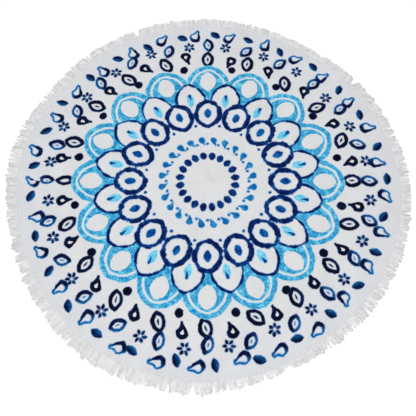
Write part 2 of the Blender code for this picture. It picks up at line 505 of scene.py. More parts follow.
def lay_copies(name, pattern, frames, facts=None):
    """One mesh of many copies of a small piece.

    frames holds a 3 by 4 matrix for each copy, its axes and its place in columns. facts are values
    for each copy, by attribute name, that its material reads.
    """
    points = get_points(pattern)
    faces = face_lists(pattern)
    placed = np.einsum("cij,pj->cpi", frames[:, :, :3], points) + frames[:, None, :, 3]
    return join_copies(name, placed, faces, facts)


def join_copies(name, placed, faces, facts=None):
    """One mesh from the points of every copy (copies, points, 3) and the faces that they share."""
    copies, count = placed.shape[:2]
    sizes = np.array([len(face) for face in faces])
    flat = np.concatenate([np.array(face) for face in faces])
    corners = (flat[None, :] + (np.arange(copies) * count)[:, None]).ravel()
    totals = np.tile(sizes, copies)
    mesh = bpy.data.meshes.new(name)
    mesh.vertices.add(copies * count)
    mesh.vertices.foreach_set("co", placed.astype(np.float32).ravel())
    mesh.loops.add(len(corners))
    mesh.loops.foreach_set("vertex_index", corners.astype(np.int32))
    mesh.polygons.add(len(totals))
    starts = np.concatenate([[0], np.cumsum(totals)[:-1]])
    mesh.polygons.foreach_set("loop_start", starts.astype(np.int32))
    mesh.polygons.foreach_set("use_smooth", np.ones(len(totals), dtype=bool))
    for fact, values in (facts or {}).items():
        layer = mesh.attributes.new(fact, "FLOAT", "POINT")
        spread = np.broadcast_to(values.reshape(copies, -1), (copies, count))
        layer.data.foreach_set("value", np.ascontiguousarray(spread, dtype=np.float32).ravel())
    mesh.update(calc_edges=True)
    mesh.validate()
    item = bpy.data.objects.new(name, mesh)
    bpy.context.scene.collection.objects.link(item)
    return item


# ---------------------------------------------------------------- the cloth

def band_rings():
    """Radii of the hem's rings, from the edge in to where the wider mesh starts."""
    insets = [row["from_edge_m"] for row in rows(HEM_COLUMNS, HEM_PROFILE)][1:]
    radii = [CLOTH_RADIUS - inset for inset in insets]
    while radii[-1] - BAND_RING_STEP > HEM_BAND_INNER:
        radii.append(radii[-1] - BAND_RING_STEP)
    return radii


def inner_rings():
    """Radii inside the hem's band, closer together over the creases in the middle."""
    radii = []
    radius = HEM_BAND_INNER - BAND_RING_STEP
    while radius > CREASE_RING_STEP:
        radii.append(radius)
        radius -= INNER_RING_STEP if radius > CREASE_ZONE else CREASE_RING_STEP
    return radii


def cut_panel():
    """The flat round panel: a fine band of rings for the hem, bridged to the wider mesh inside it."""
    panel = start_ring("terry_panel", CLOTH_RADIUS)
    band, inner = band_rings(), inner_rings()
    extrude_rings(CLOTH_RADIUS, band)
    bpy.ops.mesh.select_all(action="DESELECT")
    bpy.ops.mesh.primitive_circle_add(vertices=INNER_SECTORS, radius=inner[0], fill_type="NOTHING")
    extrude_rings(inner[0], inner[1:])
    bpy.ops.mesh.merge(type="CENTER")
    bpy.ops.object.mode_set(mode="OBJECT")
    join_bands(panel, band[-1], inner[0])
    return panel


def join_bands(panel, band_end, inner_start):
    """Bridges the hem band's inner loop to the inner disc's outer loop."""
    bpy.ops.object.mode_set(mode="EDIT")
    bpy.ops.mesh.select_mode(type="EDGE")
    bpy.ops.mesh.select_all(action="DESELECT")
    bpy.ops.object.mode_set(mode="OBJECT")
    radii = polar(get_points(panel))[0]
    on_loop = (np.abs(radii - band_end) < LOOP_TOLERANCE) | (np.abs(radii - inner_start) < LOOP_TOLERANCE)
    for edge in panel.data.edges:
        first, second = edge.vertices
        level = abs(radii[first] - radii[second]) < LOOP_TOLERANCE
        edge.select = bool(on_loop[first] and on_loop[second] and level)
    bpy.ops.object.mode_set(mode="EDIT")
    bpy.ops.mesh.bridge_edge_loops()
    face_up(panel)


def add_flat_cut_map(panel):
    """The cloth's own map: its place on the flat round cut, as a share of the cut's width."""
    layer = panel.data.uv_layers.new(name="flat_cut")
    points = get_points(panel)
    corners = np.empty(len(panel.data.loops), dtype=np.int32)
    panel.data.loops.foreach_get("vertex_index", corners)
    place = 0.5 + points[corners][:, :2] / (2.0 * CUT_RADIUS)
    layer.data.foreach_set("uv", place.astype(np.float32).ravel())


def lay_panel(panel):
    """Brings both sides of the panel to the outline, the hem's profile, the swells and the creases."""
    points = get_points(panel)
    top = points[:, 2] > 0.5 * CLOTH_THICKNESS
    radius, bearing = polar(points)
    from_edge = CLOTH_RADIUS - radius

    # the outline draws the rings with it, most at the edge
    drawn = radius + (cloth_edge(bearing) - CLOTH_RADIUS) * (radius / CLOTH_RADIUS) ** 2
    x, y = around(drawn, bearing)

    gathered = drift(*around(CLOTH_RADIUS, bearing), PUCKER_WAVELENGTH, PUCKER_SEED)
    gathered = bell(from_edge - HEM_STITCH_INSET, PUCKER_REACH) * gathered
    pucker = PUCKER_HEIGHT * gathered * np.clip(from_edge / PUCKER_EDGE_FADE, 0.0, 1.0)
    lumps = sum(row["height_m"] * drift(x, y, row["wavelength_m"], row["seed"])
                for row in rows(LUMP_COLUMNS, LUMPS))
    inward = np.clip((from_edge - LUMP_START) / LUMP_FADE, 0.0, 1.0)
    rise = creases(x, y) + lumps * inward
    over = hem_height(from_edge, "top_m") + pucker + rise
    under = hem_height(from_edge, "under_m") + np.maximum(rise, 0.0) * UNDER_RISE_SHARE * inward
    height = np.maximum(np.where(top, over, under), 0.0)
    set_points(panel, np.stack([x, y, FLOOR_HEIGHT + swell(bearing, radius) + height], axis=1))


def make_terry_panel():
    """The hemmed round of printed terry, two-sided, in the place of its solid."""
    panel = cut_panel()
    add_flat_cut_map(panel)
    thicken(panel, "pile", CLOTH_THICKNESS)
    lay_panel(panel)
    bpy.ops.object.shade_smooth()
    faces = panel.data.polygons
    normals = np.empty(len(faces) * 3)
    faces.foreach_get("normal", normals)
    printed = normals.reshape(-1, 3)[:, 2] > PRINTED_SLOPE
    panel.data.materials.append(printed_velour())
    panel.data.materials.append(terry_loops())
    faces.foreach_set("material_index", np.where(printed, 0, 1).astype(np.int32))
    return panel


# ---------------------------------------------------------------- sewing

def model_stitch():
    """One sewn stitch: a short rounded bar of thread that dips at both ends."""
    deselect_all()
    bpy.ops.mesh.primitive_uv_sphere_add(segments=6, ring_count=4, radius=0.5)
    stitch = bpy.context.object
    edit_all()
    bpy.ops.transform.rotate(value=math.radians(90.0), orient_axis="Y", center_override=(0.0, 0.0, 0.0))
    bpy.ops.transform.resize(value=(STITCH_LENGTH, STITCH_WIDTH, STITCH_WIDTH * STITCH_FLATNESS),
                             center_override=(0.0, 0.0, 0.0))
    bpy.ops.object.mode_set(mode="OBJECT")
    points = get_points(stitch)
    points[:, 2] -= STITCH_DIP * STITCH_WIDTH * (points[:, 0] / (0.5 * STITCH_LENGTH)) ** 2
    set_points(stitch, points)
    return stitch


def stitch_row(outward, height, seed):
    """Frames for a row of stitches round the towel, so far out from the cloth's edge."""
    chance = np.random.RandomState(seed)
    count = int(math.tau * CLOTH_RADIUS / STITCH_PITCH)
    bearing = (np.arange(count) + chance.uniform(-STITCH_JITTER, STITCH_JITTER, count)) * 360.0 / count
    skew = np.radians(chance.uniform(-STITCH_SKEW_DEG, STITCH_SKEW_DEG, count))
    heading = np.radians(bearing) + math.pi / 2 + skew
    frames = np.zeros((count, 3, 4))
    frames[:, 0, 0], frames[:, 1, 0] = np.cos(heading), np.sin(heading)
    frames[:, 0, 1], frames[:, 1, 1] = -np.sin(heading), np.cos(heading)
    frames[:, 2, 2] = 1.0
    frames[:, 0, 3], frames[:, 1, 3] = around(cloth_edge(bearing) + outward, bearing)
    frames[:, 2, 3] = height
    return frames


def sew(name, stitch_rows, tone_seed):
    """One piece of all the stitches in some rows."""
    stitch = model_stitch()
    frames = np.concatenate(stitch_rows)
    tone = np.random.RandomState(tone_seed).uniform(0.0, 1.0, (len(frames), 1))
    sewing = lay_copies(name, stitch, frames, {"yarn_tone": tone})
    bpy.data.objects.remove(stitch, do_unlink=True)
    sewing.data.materials.append(bpy.data.materials.get("stitch_thread") or stitch_thread())
    return sewing


def make_hem_stitching():
    """Two rows: one holds the turned hem, one near the edge holds the fringe's heading."""
    stitch_rows = []
    for inset, seed in HEM_ROWS:
        height = FLOOR_HEIGHT + float(hem_height(inset, "top_m")) + STITCH_LIFT
        stitch_rows.append(stitch_row(-inset, height, seed))
    return sew("hem_stitching", stitch_rows, HEM_TONE_SEED)


# ---------------------------------------------------------------- the fringe

def lock_plan():
    """Each lock's bearings and length, worked out in order round the strip, as for its solid."""
    sway = random.Random(SWAY_SEED)
    pitch = 360.0 / LOCK_COUNT
    locks = []
    for number in range(LOCK_COUNT):
        root = HEADING_SPLICE_DEG + (number + 0.5) * pitch
        drift_deg = sway.uniform(-LOCK_SWAY_DEG, LOCK_SWAY_DEG)
        length = LOCK_LENGTH + outline_share(root, "fringe_m") + sway.uniform(-1.0, 1.0) * LOCK_LENGTH_JITTER
        locks.append({"root": root, "tip": root + lean(root) + drift_deg, "length": length,
                      "fullness": fullness(root)})
    return locks


def model_yarn():
    """One yarn end a unit long: a small outline extruded along +Y in steps, and drawn in at its cut end."""
    deselect_all()
    bpy.ops.mesh.primitive_circle_add(vertices=YARN_SIDES, radius=1.0, fill_type="NGON",
                                      rotation=(math.radians(90.0), 0.0, 0.0))
    yarn = bpy.context.object
    bpy.ops.object.transform_apply(location=True, rotation=True, scale=True)
    edit_all()
    for _ in range(YARN_STEPS):
        bpy.ops.mesh.extrude_region_move(TRANSFORM_OT_translate={"value": (0.0, 1.0 / YARN_STEPS, 0.0)})
    bpy.ops.transform.resize(value=(YARN_END_SHARE, 1.0, YARN_END_SHARE), center_override=(0.0, 1.0, 0.0))
    bpy.ops.mesh.select_all(action="SELECT")
    bpy.ops.mesh.normals_make_consistent(inside=False)
    bpy.ops.object.mode_set(mode="OBJECT")
    return yarn


def lock_centre(lock, along):
    """A lock's bearing at a share of its length, leaning more towards its tip."""
    return lock["root"] + (lock["tip"] - lock["root"]) * along ** LOCK_BEND


def lock_room(locks, number, along):
    """A lock's middle bearing and its width at shares of its length.

    Neighbours share the room between their middles, and a parting keeps its opening.
    """
    pitch = 360.0 / LOCK_COUNT
    most = pitch * LOCK_ROOM
    middle = lock_centre(locks[number], along)
    before = lock_centre(locks[number - 1], along) if number else middle - pitch
    after = lock_centre(locks[number + 1], along) if number + 1 < LOCK_COUNT else middle + pitch
    width = 0.5 * (np.minimum(middle - before, most) + np.minimum(after - middle, most))
    return middle, width


def lock_tufts(chance):
    """The small tufts that a lock's yarn falls into: where each stands, how tight it is, how it leans."""
    count = chance.randint(TUFTS_PER_LOCK[0], TUFTS_PER_LOCK[1] + 1)
    least, most = TUFT_PULL
    middle = (np.arange(count) + 0.5) / count - 0.5
    return {"middle": middle + chance.uniform(-TUFT_JITTER, TUFT_JITTER, count) / count,
            "pull": least + (most - least) * chance.uniform(0.0, 1.0, count) ** 2,
            "lean": chance.normal(0.0, TUFT_LEAN_SHARE, count),
            "reach": 1.0 + chance.normal(0.0, TUFT_REACH_SHARE, count),
            # a tuft's tone, partly a painted shade between tufts
            "tone": chance.uniform(0.0, 1.0, count)}


def yarn_lengths(locks, number, place, tufts, own, chance):
    """Each yarn's length from its sewn end: between its lock's and the next's, its tuft's and its own."""
    count = len(place)
    reaches = [locks[(number + step) % LOCK_COUNT]["length"] for step in (-1, 0, 1)]
    length = np.interp(place, (-1.0, 0.0, 1.0), reaches) + HEADING_WIDTH + HEADING_GAP + ROOT_TUCK
    length = length * tufts["reach"][own] * (YARN_LENGTH_SHARE + chance.normal(0.0, YARN_REACH_SHARE, count))
    from_tuft = np.abs(place - tufts["middle"][own]) * len(tufts["middle"]) * 2.0
    shorter = TUFT_POINT_SHARE * tufts["pull"][own] * from_tuft
    length = length * (1.0 + TUFT_POINT_MEAN * TUFT_POINT_SHARE - shorter)
    long_yarn = chance.uniform(size=count) > 1.0 - LONG_YARN_SHARE
    return length + np.where(long_yarn, chance.uniform(*LONG_YARN_EXTRA, count), 0.0)


def yarns_of(locks, number, along, chance):
    """Bearing, radius and height of each yarn of one lock at shares of its length, and its tone."""
    lock = locks[number]
    count = int(round(YARNS_ACROSS * YARN_LAYERS * lock["fullness"]))
    layer = np.arange(count) % YARN_LAYERS
    place = (np.arange(count) + chance.uniform(*YARN_ROOM, count)) / count - 0.5
    chance.shuffle(layer)
    tufts = lock_tufts(chance)
    own = np.argmin(np.abs(place[:, None] - tufts["middle"][None, :]), axis=1)

    middle, width = lock_room(locks, number, along)
    pull = tufts["pull"][own][:, None] * along[None, :] ** PULL_BEND
    gathered = place[:, None] + (tufts["middle"][own] - place)[:, None] * pull
    stray = (tufts["lean"][own] + chance.normal(0.0, STRAY_SHARE, count))[:, None]
    bearing = middle[None, :] + (gathered + stray * along[None, :] ** STRAY_BEND) * width[None, :]
    length = yarn_lengths(locks, number, place, tufts, own, chance)
    radius = float(cloth_edge(lock["root"])) - ROOT_TUCK + length[:, None] * along[None, :]

    crimp = chance.uniform(*YARN_CRIMPS, count)[:, None] * YARN_CRIMP
    phase = chance.uniform(0.0, math.tau, count)[:, None]
    waves = chance.uniform(*YARN_WAVES, count)[:, None] * math.tau * along[None, :]
    bearing = bearing + np.degrees(crimp * np.sin(phase + waves) / CLOTH_RADIUS)
    rest = YARN_RADIUS + ROOT_HEIGHT + layer[:, None] * YARN_LAYER_STEP
    settled = YARN_RADIUS * TIP_HEIGHT + layer[:, None] * YARN_LAYER_STEP * TIP_STEP_SHARE
    height = rest + (settled - rest) * along[None, :] ** SETTLE_BEND
    height = height + CRIMP_RISE_SHARE * crimp * (1.0 + np.cos(phase * CRIMP_RISE_PHASE + waves))
    # a yarn's tone: partly its own, partly a painted shade that sets whole tufts lighter and darker
    tone = chance.uniform(0.0, 1.0, count)
    tone = tone + (tufts["tone"][own] - tone) * TUFT_TONE_SHARE
    return bearing, radius, height, tone


def make_yarn_piece(name, locks, numbers, yarn, seed):
    """The yarns of a run of locks, as one mesh."""
    chance = np.random.RandomState(seed)
    pattern = get_points(yarn)
    section = np.round(pattern[:, 1] * YARN_STEPS).astype(int)
    along = np.arange(YARN_STEPS + 1) / YARN_STEPS
    placed, tones, sides = [], [], []
    for number in numbers:
        bearing, radius, height, tone = yarns_of(locks, number, along, chance)
        count = len(bearing)
        spin = chance.uniform(0.0, math.tau, count)[:, None]
        girth = YARN_RADIUS * chance.uniform(*YARN_GIRTHS, count)[:, None]
        swells = chance.uniform(-1.0, 1.0, (count, YARN_STEPS + 1))[:, section]
        girth = girth * (1.0 + YARN_SWELL * swells)
        side = girth * (pattern[:, 0] * np.cos(spin) - pattern[:, 2] * np.sin(spin))
        up = girth * (pattern[:, 0] * np.sin(spin) + pattern[:, 2] * np.cos(spin))
        angle = np.radians(bearing[:, section])
        x = radius[:, section] * np.cos(angle) - side * np.sin(angle)
        y = radius[:, section] * np.sin(angle) + side * np.cos(angle)
        z = FLOOR_HEIGHT + np.maximum(height[:, section] + up, YARN_CLEARANCE)
        placed.append(np.stack([x, y, z], axis=2))
        sides.append(side / girth)
        tones.append(tone[:, None])
    placed = np.concatenate(placed)
    facts = {"yarn_tone": np.concatenate(tones), "yarn_side": np.concatenate(sides),
             "yarn_run": np.broadcast_to(pattern[:, 1], placed.shape[:2])}
    # laid out, a yarn is its own mirror image, so its faces are turned round to look outwards
    faces = [face[:1] + face[:0:-1] for face in face_lists(yarn)]
    piece = join_copies(name, placed, faces, facts)
    piece.data.materials.append(bpy.data.materials.get("cotton_yarn") or cotton_yarn())
    return piece


def make_fringe_yarn():
    """The fringe's yarn in four quarters of the strip, each its own piece."""
    locks = lock_plan()
    yarn = model_yarn()
    names = ("fringe_yarn_back", "fringe_yarn_left", "fringe_yarn_front", "fringe_yarn_right")
    quarter = LOCK_COUNT // len(names)
    pieces = []
    for place, name in enumerate(names):
        numbers = range(place * quarter, (place + 1) * quarter)
        pieces.append(make_yarn_piece(name, locks, numbers, yarn, YARN_SEED + place))
    bpy.data.objects.remove(yarn, do_unlink=True)
    return pieces


def make_fringe_heading():
    """The narrow woven tape that the yarn is caught in, close outside the cloth's edge."""
    tape_start = CLOTH_RADIUS - ROOT_TUCK
    tape_width = CLOTH_RADIUS + HEADING_GAP + HEADING_WIDTH - tape_start
    tape = start_ring("fringe_heading", tape_start)
    extrude_rings(tape_start, [tape_start + tape_width * (rib + 1) / TAPE_RIBS for rib in range(TAPE_RIBS)])
    face_up(tape)
    thicken(tape, "weave", TAPE_THICKNESS)

    points = get_points(tape)
    top = points[:, 2] > 0.5 * TAPE_THICKNESS
    radius, bearing = polar(points)
    share = np.clip((radius - tape_start) / tape_width, 0.0, 1.0)
    rib = np.round(share * TAPE_RIBS).astype(int) % 2
    x, y = around(radius + cloth_edge(bearing) - CLOTH_RADIUS, bearing)
    height = np.where(top, TAPE_THICKNESS - TAPE_FALL * share - TAPE_RIB_DEPTH * rib, 0.0)
    set_points(tape, np.stack([x, y, FLOOR_HEIGHT + height], axis=1))
    bpy.ops.object.shade_smooth()
    tape.data.materials.append(heading_tape())
    return tape


def make_heading_stitching():
    """The row that binds the yarn to its heading, just outside the cloth's edge."""
    outward = HEADING_GAP + HEADING_ROW_SHARE * HEADING_WIDTH
    height = FLOOR_HEIGHT + ROOT_HEIGHT + YARN_RADIUS * 2.0 + (YARN_LAYERS - 1) * YARN_LAYER_STEP
    return sew("heading_stitching", [stitch_row(outward, height, HEADING_ROW_SEED)], HEADING_TONE_SEED)


# ---------------------------------------------------------------- materials

def shade(colour):
    """An sRGB colour, 0 to 255, as the linear values that a shader takes."""
    linear = []
    for value in colour:
        share = value / 255.0
        linear.append(share / 12.92 if share <= 0.04045 else ((share + 0.055) / 1.055) ** 2.4)
    return (*linear, 1.0)


def feed(tree, socket, value):
    """Sets a socket to a number or colour, or links another socket to it."""
    if isinstance(value, bpy.types.NodeSocket):
        tree.links.new(value, socket)
    else:
        socket.default_value = value


def feed_all(tree, node, terms):
    for socket, term in zip(node.inputs, terms):
        feed(tree, socket, term)
    return node.outputs[0]


def calc(tree, operation, *terms, clamp=False):
    node = tree.nodes.new("ShaderNodeMath")
    node.operation = operation
    node.use_clamp = clamp
    return feed_all(tree, node, terms)


def vector_calc(tree, operation, *terms):
    node = tree.nodes.new("ShaderNodeVectorMath")
    node.operation = operation
    return feed_all(tree, node, terms)


def times(tree, first, second):
    return calc(tree, "MULTIPLY", first, second)


def plus(tree, first, second):
    return calc(tree, "ADD", first, second)


def minus(tree, first, second):
    return calc(tree, "SUBTRACT", first, second)


def ramp(tree, value, low, high):
    """0 at low, 1 at high, and a soft curve between."""
    node = tree.nodes.new("ShaderNodeMapRange")
    node.interpolation_type = "SMOOTHSTEP"
    feed(tree, node.inputs["Value"], value)
    feed(tree, node.inputs["From Min"], low)
    feed(tree, node.inputs["From Max"], high)
    return node.outputs["Result"]


def blend(tree, share, first, second):
    """A colour between two, by a share."""
    node = tree.nodes.new("ShaderNodeMix")
    node.data_type = "RGBA"
    feed(tree, node.inputs[0], share)
    feed(tree, node.inputs[6], first)
    feed(tree, node.inputs[7], second)
    return node.outputs[2]


def noise(tree, place, scale, detail=2.0, roughness=0.5, output="Fac"):
    node = tree.nodes.new("ShaderNodeTexNoise")
    feed(tree, node.inputs["Vector"], place)
    feed(tree, node.inputs["Scale"], scale)
    node.inputs["Detail"].default_value = detail
    node.inputs["Roughness"].default_value = roughness
    return node.outputs[output]


def uneven(tree, place, scale, detail, roughness):
    """Noise about 0."""
    return minus(tree, noise(tree, place, scale, detail, roughness), 0.5)


def across_and_along(tree, vector):
    node = tree.nodes.new("ShaderNodeSeparateXYZ")
    tree.links.new(vector, node.inputs[0])
    return node.outputs["X"], node.outputs["Y"]


def point_fact(tree, name):
    """A value that the mesh carries at each of its points."""
    node = tree.nodes.new("ShaderNodeAttribute")
    node.attribute_name = name
    return node.outputs["Fac"]


def new_group(name, inputs, outputs):
    """An empty node group with its named sockets, and its input and output nodes."""
    tree = bpy.data.node_groups.new(name, "ShaderNodeTree")
    for title, kind in inputs:
        tree.interface.new_socket(title, in_out="INPUT", socket_type=kind)
    for title, kind in outputs:
        tree.interface.new_socket(title, in_out="OUTPUT", socket_type=kind)
    return tree, tree.nodes.new("NodeGroupInput"), tree.nodes.new("NodeGroupOutput")


def use_group(tree, group, **values):
    node = tree.nodes.new("ShaderNodeGroup")
    node.node_tree = group
    for title, value in values.items():
        feed(tree, node.inputs[title.replace("_", " ")], value)
    return node


def new_material(name, roughness, sheen, sheen_roughness):
    """A matt cotton with its fuzz as sheen. Returns the material, its tree and its shader."""
    material = bpy.data.materials.new(name)
    material.use_nodes = True
    tree = material.node_tree
    shader = tree.nodes["Principled BSDF"]
    shader.inputs["Roughness"].default_value = roughness
    shader.inputs["Specular IOR Level"].default_value = COTTON_SPECULAR
    shader.inputs["Sheen Weight"].default_value = sheen
    shader.inputs["Sheen Roughness"].default_value = sheen_roughness
    return material, tree, shader


def cotton_nap_group():
    """Cotton pile: Tone is its uneven lightness about 1, Height its lumps and fibre ends."""
    name = "cotton_nap"
    if name in bpy.data.node_groups:
        return bpy.data.node_groups[name]
    tree, given, made = new_group(
        name,
        [("Place", "NodeSocketVector"), ("Grain", "NodeSocketFloat"), ("Unevenness", "NodeSocketFloat")],
        [("Tone", "NodeSocketFloat"), ("Height", "NodeSocketFloat")])
    place, grain = given.outputs["Place"], given.outputs["Grain"]
    brushed = uneven(tree, place, BRUSHED_SCALE, detail=3.0, roughness=0.55)
    lumps = uneven(tree, place, LUMPS_SCALE, detail=2.0, roughness=0.6)
    fibres = uneven(tree, place, grain, detail=2.0, roughness=0.6)
    clumps = noise(tree, place, CLUMPS_SCALE, detail=1.0, roughness=0.5)
    tufts = tree.nodes.new("ShaderNodeTexVoronoi")
    tufts.feature = "SMOOTH_F1"
    feed(tree, tufts.inputs["Vector"], place)
    feed(tree, tufts.inputs["Scale"], grain)

    wander = plus(tree, times(tree, brushed, NAP_TONE["brushed"]), times(tree, lumps, NAP_TONE["lumps"]))
    wander = plus(tree, wander, times(tree, fibres, NAP_TONE["fibres"]))
    tone = calc(tree, "MULTIPLY_ADD", wander, given.outputs["Unevenness"], 1.0)
    height = calc(tree, "MULTIPLY_ADD", tufts.outputs["Distance"], NAP_HEIGHT["tufts"], 0.5)
    height = calc(tree, "MULTIPLY_ADD", fibres, NAP_HEIGHT["fibres"], height)
    height = plus(tree, height, times(tree, lumps, NAP_HEIGHT["lumps"]))
    height = calc(tree, "MULTIPLY_ADD", clumps, NAP_HEIGHT["clumps"], height)
    tree.links.new(tone, made.inputs["Tone"])
    tree.links.new(height, made.inputs["Height"])
    return tree


def add_bump(tree, shader, height, strength, distance):
    bump = tree.nodes.new("ShaderNodeBump")
    bump.inputs["Strength"].default_value = strength
    bump.inputs["Distance"].default_value = distance
    feed(tree, bump.inputs["Height"], height)
    tree.links.new(bump.outputs["Normal"], shader.inputs["Normal"])


def toned(tree, colour, tone):
    """A colour made lighter or darker by a tone about 1."""
    node = tree.nodes.new("ShaderNodeVectorMath")
    node.operation = "SCALE"
    feed(tree, node.inputs[0], colour)
    feed(tree, node.inputs["Scale"], tone)
    return node.outputs[0]


# ---------------------------------------------------------------- the print

# The print, a generic lotus medallion in rounds of leaves, drops, beads and florets. Each row is one
# round: how many motifs, the radius of their middles, how far the round is turned as a share of
# its pitch, their length and width, the width of the drawn line (0 is solid), the ink, whether
# bare cloth lies under the motif and hides what is behind, an inner motif's inset and its ink,
# the motif's own tilt and how much that varies from one to the next, how far it may be pushed out
# of its place, and how far its ink turns to the bluer one on one side.
ROUND_COLUMNS = ("shape", "repeats", "radius_m", "turn", "length_m", "width_m", "line_m", "ink",
                 "bare", "core_m", "core_ink", "tilt_deg", "tilt_spread_deg", "push_m", "bluer")
ROUNDS = (
    # outer field, three rounds of scattered motifs
    ("drop", 20, 0.541, 0.00, 0.057, 0.045, 0.0, "navy", False, 0.0160, "bare", 165, 60, 0.008, 0.25),
    ("leaf", 20, 0.541, 0.50, 0.063, 0.038, 0.0150, "navy", False, 0.0155, "navy", 18, 64, 0.008, 0.35),
    ("floret", 24, 0.605, 0.00, 0.049, 0.049, 0.0, "midnight", False, 0.0, None, 0, 60, 0.009, 0.3),
    ("leaf", 24, 0.605, 0.50, 0.053, 0.033, 0.0145, "midnight", False, 0.0145, "royal", -22, 64, 0.009, 0.6),
    ("drop", 29, 0.662, 0.00, 0.049, 0.036, 0.0160, "midnight", False, 0.0, None, -60, 90, 0.011, 0.9),
    ("leaf", 29, 0.662, 0.50, 0.048, 0.028, 0.0, "midnight", False, 0.0, None, 48, 90, 0.011, 0.6),
    # the medallion, from its outer edge in
    ("bead", 16, 0.500, 0.00, 0.032, 0.032, 0.0, "navy", False, 0.0, None, 0, 0, 0.0, 0.0),
    ("leaf", 16, 0.412, 0.50, 0.186, 0.160, 0.0185, "cyan", True, 0.018, "cyan", 0, 0, 0.0, 0.25),
    ("leaf", 16, 0.437, 0.50, 0.086, 0.064, 0.0, "bare", False, 0.0, None, 0, 0, 0.0, 0.0),
    ("leaf", 16, 0.353, 0.00, 0.152, 0.114, 0.0118, "indigo", True, 0.042, "sky", 0, 0, 0.0, 0.8),
    ("drop", 16, 0.364, 0.00, 0.030, 0.013, 0.0, "royal", False, 0.0, None, 180, 0, 0.0, 0.0),
    ("leaf", 16, 0.291, 0.50, 0.112, 0.093, 0.0205, "indigo", True, 0.033, "royal", 0, 0, 0.0, 0.7),
    ("bead", 16, 0.237, 0.00, 0.011, 0.011, 0.0, "royal", False, 0.0, None, 0, 0, 0.0, 0.0),
    ("drop", 24, 0.163, 0.00, 0.036, 0.026, 0.0, "azure", False, 0.0, None, 180, 0, 0.0, 0.3),
    ("bead", 24, 0.156, 0.50, 0.011, 0.011, 0.0, "azure", False, 0.0, None, 0, 0, 0.0, 0.0),
    ("leaf", 20, 0.105, 0.00, 0.034, 0.026, 0.0, "indigo", False, 0.0, None, 0, 0, 0.0, 0.8),
)
FLORET_PETALS = 6
FLORET_SHARES = (0.30, 0.40, 0.25)      # the petals' distance out, length and width, of its own length
DROP_TAIL_SHARE = 0.12          # half the tail's width, as a share of the drop's
DROP_BEND_SHARE = 0.35          # how far the tail is bent aside, as a share of the drop's width
TILT_SEED_STEP = 17.3
PUSH_SEEDS = (31.7, 53.1)
INK_SOFTNESS = 0.0008
# waves in a metre and the push in metres, from the brush's hand down to the pile's fibres
BRUSH_WOBBLES = ((24.0, 0.0070), (105.0, 0.0048), (300.0, 0.0018), (850.0, 0.0016))
RIM_WIDTH = 0.0026
RIM_STRENGTH = 0.60
BLUE_SIDE_THINNING = 0.60       # how much thinner a drawn line is where its ink has turned bluer
BLUE_SIDE = (-0.2, 0.45)        # where across a scattered motif its ink turns bluer, in widths
BLEED_REACH = 0.0038
# an ink wanders between its full and its worn tone, as a brush runs dry: how often in a metre, and
# between which values of the noise
WASH_SCALE = 44.0
WASH_RANGE = (0.49, 0.67)
GRIT_SCALE = 150.0
GRIT_RANGE = (0.46, 0.60)
GRIT_STRENGTH = 0.60
TIDE_SCALE = 26.0
TIDE_RANGE = (0.45, 0.60)
# white fibre ends that show through the ink as a fine pale speckle
SPECKLE_SCALE = 700.0
SPECKLE_RANGE = (0.50, 0.74)
SPECKLE_STRENGTH = 0.012


def turned(tree, across, along, angle):
    """A motif's two coordinates turned by an angle in radians."""
    cosine, sine = calc(tree, "COSINE", angle), calc(tree, "SINE", angle)
    new_across = minus(tree, times(tree, across, cosine), times(tree, along, sine))
    new_along = plus(tree, times(tree, across, sine), times(tree, along, cosine))
    return new_across, new_along


def repeated(tree, angle, radius, repeats, middle, turn):
    """Folds the round into one sector: coordinates from a motif's middle, and the sector's number."""
    sectors = calc(tree, "MULTIPLY_ADD", angle, repeats / math.tau, turn)
    cell = calc(tree, "FLOOR", sectors)
    phi = times(tree, minus(tree, minus(tree, sectors, cell), 0.5), math.tau / repeats)
    across = times(tree, radius, calc(tree, "SINE", phi))
    along = minus(tree, times(tree, radius, calc(tree, "COSINE", phi)), middle)
    return across, along, cell


def length_of(tree, across, along):
    return calc(tree, "SQRT", plus(tree, times(tree, across, across), times(tree, along, along)))


def leaf_distance(tree, across, along, length, width):
    """Distance to a leaf between two arcs, below 0 inside it."""
    half_length, half_width = 0.5 * length, 0.5 * width
    arc = (half_length ** 2 + half_width ** 2) / (2.0 * half_width)
    offset = plus(tree, calc(tree, "ABSOLUTE", across), arc - half_width)
    return minus(tree, length_of(tree, offset, along), arc)


def drop_distance(tree, across, along, length, width):
    """Distance to a drop, thick at one end and thin at the other, with its tail bent aside."""
    big, small = 0.5 * width, DROP_TAIL_SHARE * width
    span = length - big - small
    share = calc(tree, "MULTIPLY_ADD", along, 1.0 / span, 0.5, clamp=True)
    bent = minus(tree, across, times(tree, calc(tree, "POWER", share, 2.0), DROP_BEND_SHARE * width))
    past = minus(tree, along, times(tree, minus(tree, share, 0.5), span))
    girth = calc(tree, "MULTIPLY_ADD", share, small - big, big)
    return minus(tree, length_of(tree, bent, past), girth)


def floret_distance(tree, across, along, length):
    """Distance to a small flower of solid petals round an open eye."""
    angle = calc(tree, "ARCTAN2", across, along)
    radius = length_of(tree, across, along)
    out, petal_length, petal_width = [share * length for share in FLORET_SHARES]
    petal_across, petal_along, _ = repeated(tree, angle, radius, FLORET_PETALS, out, 0.0)
    return leaf_distance(tree, petal_across, petal_along, petal_length, petal_width)


def motif_distance(tree, row, across, along):
    if row["shape"] == "leaf":
        return leaf_distance(tree, across, along, row["length_m"], row["width_m"])
    if row["shape"] == "drop":
        return drop_distance(tree, across, along, row["length_m"], row["width_m"])
    if row["shape"] == "floret":
        return floret_distance(tree, across, along, row["length_m"])
    return minus(tree, length_of(tree, across, along), 0.5 * row["width_m"])


def cell_chance(tree, cell, seed):
    """A value from 0 to 1 that differs from one motif of a round to the next."""
    chance = tree.nodes.new("ShaderNodeTexWhiteNoise")
    chance.noise_dimensions = "1D"
    feed(tree, chance.inputs["W"], plus(tree, cell, seed))
    return chance.outputs["Value"]


